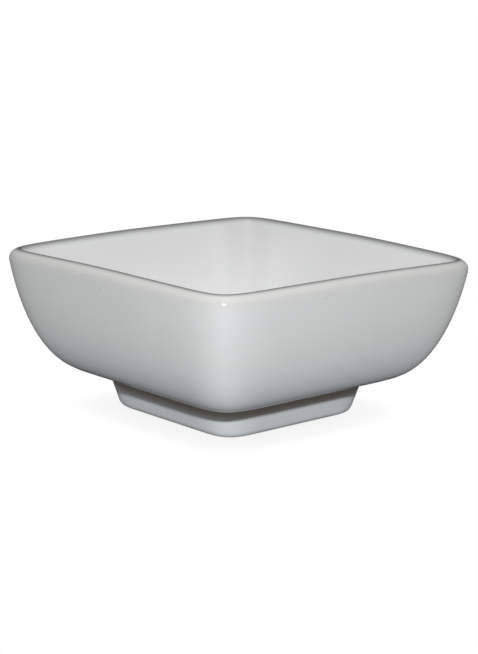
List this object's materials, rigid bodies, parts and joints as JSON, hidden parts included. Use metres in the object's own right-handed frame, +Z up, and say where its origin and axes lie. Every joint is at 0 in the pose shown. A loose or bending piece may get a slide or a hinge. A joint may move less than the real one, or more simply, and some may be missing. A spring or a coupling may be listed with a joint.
{
  "type": "square bowl",
  "caption": "White glazed porcelain square bowl with flared walls, rounded corners, a thick rolled rim and a narrower square foot, for sauces, dips and small portions.",
  "frame": {"origin": "centre of the square foot's flat land, on the surface that the bowl stands on", "axes": "+Z up through the mouth; +X and +Y square to the flat sides"},
  "size_m": [0.1004, 0.1004, 0.0466],
  "materials": {
    "bowl_glaze": "clear glossy glaze over white porcelain",
    "joint_glaze": "clear glaze, stained grey-brown where it pools in the hollow of the joint",
    "foot_glaze": "clear glossy glaze outside, wiped bare on the flat land at the table"
  },
  "bodies": {
    "root": {"bowl_shell": "bowl_glaze", "luting_fillet": "joint_glaze", "foot_ring": "foot_glaze"}
  },
  "joints": []
}
